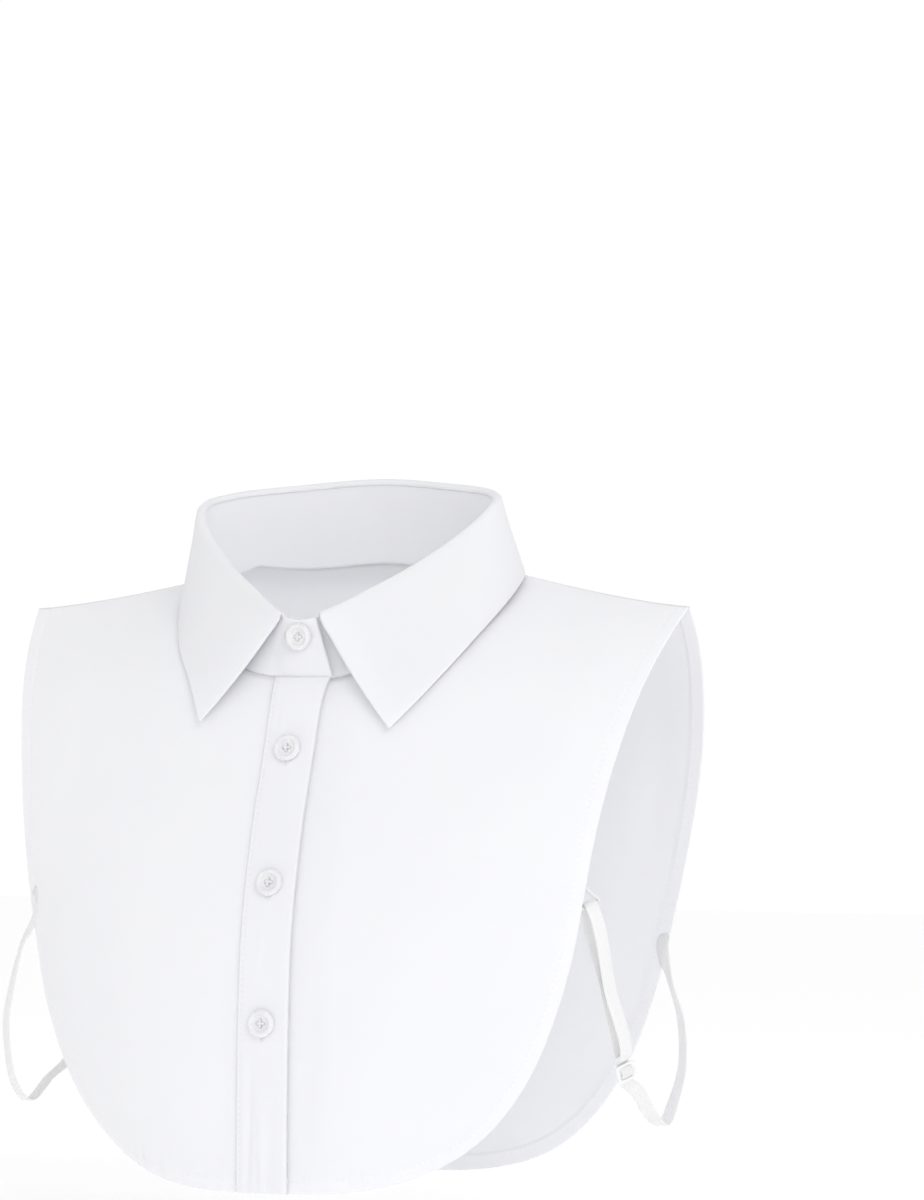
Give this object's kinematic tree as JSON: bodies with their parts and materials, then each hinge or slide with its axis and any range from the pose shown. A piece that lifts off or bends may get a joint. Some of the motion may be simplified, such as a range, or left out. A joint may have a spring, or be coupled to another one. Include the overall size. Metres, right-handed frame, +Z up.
{
  "type": "detachable shirt collar",
  "caption": "Half shirt with a pointed collar on a stand, a buttoned front band, a round hem, open armholes and an elastic strap with a slider under each arm.",
  "frame": {"origin": "middle of the neck, level with the outer ends of the shoulders, where the wearer's neck and shoulders hold the garment", "axes": "+X towards the wearer's left, -Y towards the front, +Z up"},
  "size_m": [0.3004, 0.1832, 0.3027],
  "materials": {
    "front_right": "white cotton poplin, plain weave",
    "front_left": "white cotton poplin, plain weave",
    "front_band": "white cotton poplin, pressed band",
    "back": "white cotton poplin, plain weave",
    "collar_stand": "white cotton poplin, stiffened",
    "collar_leaf": "white cotton poplin, stiffened",
    "buttons": "pearly white, glossy",
    "elastic": "white ribbed elastic",
    "loops": "white thread cord",
    "sliders": "clear whitish plastic"
  },
  "bodies": {
    "root": {"front_right": "front_right", "front_left": "front_left", "front_band": "front_band", "back": "back", "collar_stand": "collar_stand", "collar_leaf": "collar_leaf", "button_collar": "buttons", "button_front_1": "buttons", "button_front_2": "buttons", "button_front_3": "buttons", "strap_left": "elastic", "strap_left_loop": "loops", "strap_left_slider": "sliders", "strap_right": "elastic", "strap_right_loop": "loops", "strap_right_slider": "sliders"}
  },
  "joints": []
}
